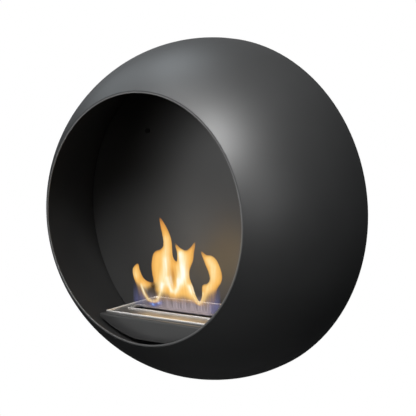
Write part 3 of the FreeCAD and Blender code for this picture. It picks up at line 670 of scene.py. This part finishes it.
def fire_shades(spots, depth, ahead):
    """Heat along the folds and inside; a veil that thins out in the gaps and, in streaks, below the foot."""
    x, z = 1000.0 * spots.T
    heat = EDGE_HEAT + CORE_HEAT * rise(depth, CORE_DEPTH) - TIP_COOLING * rise(z - TIP_START, TIP_RUN)
    line = np.zeros(len(x))
    for points, width, gain, share in FOLDS:
        near = bell(distance_to_lines(spots, np.array(points) / 1000.0), width)
        heat += gain * near
        line = np.maximum(line, share * near * ahead)
    heart = np.hypot(spots[:, 0] - HEART_X, HEART_SQUEEZE * (spots[:, 1] - HEART_Z))
    heat -= HEART_COOLING * bell(heart, HEART_WIDTH)
    below = np.clip(np.interp(x, *np.array(FOOT).T) - z, 0, None)
    body = (EDGE_VEIL + BODY_VEIL * rise(depth, BODY_DEPTH)) * np.exp(-(below / FOOT_FADE) ** 2)
    streak = np.clip(0.5 + 0.35 * wave(x, *WIDE_STREAKS) + 0.3 * wave(x, *FINE_STREAKS), 0, 1)
    streak *= STREAK_VEIL * np.exp(-below / STREAK_FADE) * rise(depth, STREAK_DEPTH) * (below > 0)
    veil = np.maximum(body, streak)
    for (gap_x, gap_z), (wide, tall), thin in GAPS:
        share = ((x - gap_x) / wide) ** 2 + ((z - gap_z) / tall) ** 2
        veil *= 1.0 - thin * np.exp(-share ** 2)
    return {"glow": heat, "veil": np.maximum(veil, line * rise(depth, LINE_DEPTH))}


def curtain_sway(spots):
    """The curtain waves to and fro, more so higher up."""
    x, z = spots.T
    return SWAY * np.sin(55.0 * x + 40.0 * z) * rise(z - SWAY_FOOT, SWAY_RUN)


fire = flame_material("flame_light", [
    (0.0, (0.55, 0.17, 0.03)),
    (0.25, (0.84, 0.42, 0.09)),
    (0.45, (0.93, 0.54, 0.15)),
    (0.65, (0.97, 0.72, 0.34)),
    (0.85, (1.0, 0.90, 0.64)),
    (1.0, (1.0, 0.98, 0.88)),
], strength=1.15, cast=2.5)
flame_body("flame_curtain", smooth_loop(CURTAIN), CURTAIN_HALF, CURTAIN_ROUND, CURTAIN_SPACING,
           curtain_sway, fire_shades, fire)

# The haze's outline: its glow is partly the flames' blue foot and partly a painted reflection of the flames
# on the plate.
HAZE = [
    (-78, -161.6), (-86, -156), (-88, -140), (-84, -118), (-60, -112), (-30, -114), (0, -112), (35, -114),
    (65, -112), (88, -110), (96, -122), (96, -142), (91, -156), (80, -161.6), (40, -162.6), (0, -162.6),
    (-40, -162.6),
]
HAZE_HALF, HAZE_ROUND, HAZE_SPACING = 0.009, 0.02, 0.0024
HAZE_EDGE = 0.016
HAZE_TOP, HAZE_RUN = -132.0, 20.0
HAZE_ENDS = [(-0.078, 13.0), (0.090, 11.0)]
ENDS_TOP, ENDS_RUN = -108.0, 24.0
JET_X, JET_Z, JET_WIDTH, JET_VEIL = -0.038, -0.153, 8.0, 0.4
SLOT_LEFT, SLOT_RIGHT, SLOT_FADE = -72.0, 84.0, 12.0
SLOT_FOOT, SLOT_RISE = -163.0, 2.0


def haze_and_reflection_shades(spots, depth, _ahead):
    """Lilac wisps on the slot, thinner on the left, bluer at the ends and over a jet: blue foot and painted
    reflection.
    """
    x, z = 1000.0 * spots.T
    ends = sum(bell(np.abs(spots[:, 0] - end), width) for end, width in HAZE_ENDS)
    jet = bell(np.hypot(spots[:, 0] - JET_X, 2.0 * (spots[:, 1] - JET_Z)), JET_WIDTH)
    glow = 0.12 + 0.45 * ends + 0.9 * jet
    lean = x + 0.12 * (z + 150.0)
    wisps = 0.45 + 0.5 * wave(lean, 0.31, 0.9) * wave(lean, 0.67, 2.1) + 0.25 * wave(lean, 1.1, 0.0)
    fuller = rise(x + 50.0, 50.0)
    veil = (0.14 + 0.62 * np.clip(wisps, 0, 1)) * (0.45 + 0.55 * fuller) * rise(HAZE_TOP - z, HAZE_RUN)
    veil += (0.17 + 0.11 * fuller) * ends * rise(ENDS_TOP - z, ENDS_RUN) + JET_VEIL * jet
    on_slot = rise(np.minimum(x - SLOT_LEFT, SLOT_RIGHT - x), SLOT_FADE) * rise(z - SLOT_FOOT, SLOT_RISE)
    return {"glow": glow, "veil": veil * np.maximum(rise(depth, HAZE_EDGE), on_slot)}


def no_sway(spots):
    """The haze hangs straight."""
    return np.zeros(len(spots))


blue = flame_material("vapour_and_painted_reflection_light", [
    (0.0, (0.46, 0.37, 0.34)),
    (0.30, (0.20, 0.18, 0.28)),
    (0.60, (0.11, 0.13, 0.36)),
    (0.80, (0.12, 0.20, 0.60)),
    (1.0, (0.32, 0.52, 0.90)),
], strength=1.35, cast=0.5)
flame_body("vapour_and_painted_reflection_veil", smooth_loop(HAZE), HAZE_HALF, HAZE_ROUND, HAZE_SPACING, no_sway, haze_and_reflection_shades, blue)

# Stage: a pale round floor well below the fireplace, which fades into a white surround.
# Mirrored in the coat, the floor is dim and the surround grows brighter towards the top.
FLOOR_RADIUS, FLOOR_Z = 1.1, -1.5
FLOOR_TONES = grey(0.78), grey(0.82)
FLOOR_MIRRORED = (*grey(0.15), 1.0)
FLOOR_MIRRORED_GLOW = 0.06
FLOOR_ROUGHNESS = 0.9
FADE_INSIDE, FADE_OUTSIDE = 0.2, 1.08
FLOOR_MIDDLE_GLOW = 0.55
SURROUND_TINT = 0.85, 0.88, 0.92, 1.0
AMBIENT = {"start": -0.8, "stop": 0.4, "low": 0.03, "high": 0.12}
OVERHEAD = {"start": 0.15, "stop": 1.15, "low": 0.0, "high": 0.64}
WHITE = (*grey(1.0), 1.0)

floor_mesh = bmesh.new()
bmesh.ops.create_circle(floor_mesh, cap_ends=True, segments=96, radius=FLOOR_RADIUS,
                        matrix=Matrix.Translation((0, 0, FLOOR_Z)))
floor_data = bpy.data.meshes.new("floor")
floor_mesh.to_mesh(floor_data)
floor_mesh.free()
floor = bpy.data.objects.new("floor", floor_data)
scene.collection.objects.link(floor)


def combined(tree, operation, first, second):
    """Two values joined by one operation."""
    node = tree.nodes.new("ShaderNodeMath")
    node.operation = operation
    tree.links.new(first, node.inputs[0])
    tree.links.new(second, node.inputs[1])
    return node.outputs["Value"]


floor_paint, tree, shader, place = new_material("pale_floor")
path = tree.nodes.new("ShaderNodeLightPath")
paint = two_tone(tree, noise(tree, place, 4.0), *FLOOR_TONES)
tree.links.new(mixed(tree, path.outputs["Is Glossy Ray"], paint, FLOOR_MIRRORED), shader.inputs["Base Color"])
shader.inputs["Roughness"].default_value = FLOOR_ROUGHNESS
shader.inputs["Emission Color"].default_value = WHITE
radius = reach_from_axis(tree, place, (1.0, 1.0, 0.0))
fade = graded(tree, radius, FADE_INSIDE, FADE_OUTSIDE, FLOOR_MIDDLE_GLOW, 1.0, smooth=True)
seen = span(tree, path.outputs["Is Glossy Ray"], 0.0, FLOOR_MIRRORED_GLOW)
for ray in ("Is Camera Ray", "Is Transmission Ray"):
    seen = combined(tree, "MAXIMUM", seen, combined(tree, "MULTIPLY", path.outputs[ray], fade))
tree.links.new(seen, shader.inputs["Emission Strength"])
floor_data.materials.append(floor_paint)

world = bpy.data.worlds.new("studio")
scene.world = world
world.use_nodes = True
tree = world.node_tree
background = tree.nodes["Background"]
background.inputs["Color"].default_value = SURROUND_TINT
white = tree.nodes.new("ShaderNodeBackground")
white.inputs["Color"].default_value = WHITE
white.inputs["Strength"].default_value = 1.0
path = tree.nodes.new("ShaderNodeLightPath")
direction = tree.nodes.new("ShaderNodeTexCoord")
height = tree.nodes.new("ShaderNodeSeparateXYZ")
tree.links.new(direction.outputs["Generated"], height.inputs["Vector"])
ambient = graded(tree, height.outputs["Z"], **AMBIENT)
tree.links.new(ambient, background.inputs["Strength"])
overhead = graded(tree, height.outputs["Z"], **OVERHEAD, smooth=True)
mirrored = combined(tree, "MULTIPLY", path.outputs["Is Glossy Ray"], overhead)
seen = combined(tree, "MAXIMUM", path.outputs["Is Camera Ray"], mirrored)
seen = combined(tree, "MAXIMUM", seen, path.outputs["Is Transmission Ray"])
mix = tree.nodes.new("ShaderNodeMixShader")
tree.links.new(seen, mix.inputs["Fac"])
tree.links.new(background.outputs["Background"], mix.inputs[1])
tree.links.new(white.outputs["Background"], mix.inputs[2])
tree.links.new(mix.outputs["Shader"], tree.nodes["World Output"].inputs["Surface"])

# Lamps: soft oval studio lamps, all pointed at the middle of the wall face. The front lamp gives the
# dome's highlight, and the rim, top and upper left lamps draw it on over the top. The right and back
# lamps light the dome's flank and its back, and the large left lamp is mirrored in the back panel.
NEUTRAL, COOL = grey(1.0), (0.86, 0.94, 1.0)


def soft_lamp(name, direction, distance, size, power, colour, spread=180.0):
    """An oval lamp in a direction from the origin, which it points at; the spread is in degrees."""
    lamp = bpy.data.lights.new(name, "AREA")
    lamp.shape = "ELLIPSE"
    lamp.size, lamp.size_y = size
    lamp.energy = power
    lamp.color = colour
    lamp.spread = math.radians(spread)
    thing = bpy.data.objects.new(name, lamp)
    scene.collection.objects.link(thing)
    thing.visible_camera = False
    spot = Vector(direction).normalized() * distance
    thing.location = spot
    thing.rotation_euler = (-spot).to_track_quat("-Z", "Y").to_euler()


soft_lamp("front_lamp", (0.345, -0.65, 0.675), 1.9, (0.55, 0.95), 3.85, NEUTRAL, 40.0)
soft_lamp("rim_lamp", (-0.12, -0.46, 0.88), 1.9, (0.5, 0.4), 0.42, NEUTRAL, 40.0)
soft_lamp("top_lamp", (-0.36, 0.03, 0.93), 1.8, (0.8, 0.8), 1.36, COOL, 60.0)
soft_lamp("upper_left_lamp", (-0.75, 0.0, 0.66), 1.8, (0.8, 0.8), 0.62, COOL, 60.0)
soft_lamp("back_lamp", (0.0, 1.0, 0.06), 1.3, (0.6, 0.6), 2.4, NEUTRAL, 130.0)
soft_lamp("right_lamp", (0.82, -0.53, 0.18), 1.8, (0.6, 0.9), 0.62, NEUTRAL, 60.0)
soft_lamp("left_lamp", (-0.37, -0.93, 0.05), 2.4, (2.0, 1.8), 13.0, NEUTRAL)

# Camera: well to the right of the front and a little above, as near as for a product picture.
# It looks at the middle of the wall face, tilted slightly to one side.
AZIMUTH, ELEVATION, ROLL = math.radians(35.28), math.radians(4.93), math.radians(-1.59)
CAMERA_DISTANCE = 1.35

camera_data = bpy.data.cameras.new("camera")
camera_data.sensor_width = 36.0
camera_data.lens = 65.24
camera_data.shift_x = -0.0091
camera_data.shift_y = 0.0022
camera = bpy.data.objects.new("camera", camera_data)
scene.collection.objects.link(camera)
outwards = Vector((math.sin(AZIMUTH) * math.cos(ELEVATION), -math.cos(AZIMUTH) * math.cos(ELEVATION),
                   math.sin(ELEVATION)))
right = Vector((math.cos(AZIMUTH), math.sin(AZIMUTH), 0.0))
up = outwards.cross(right)
turned_right = math.cos(ROLL) * right + math.sin(ROLL) * up
turned_up = math.cos(ROLL) * up - math.sin(ROLL) * right
frame_axes = Matrix((turned_right, turned_up, outwards)).transposed().to_4x4()
camera.matrix_world = Matrix.Translation(CAMERA_DISTANCE * outwards) @ frame_axes
scene.camera = camera
scene.view_settings.view_transform = "Standard"
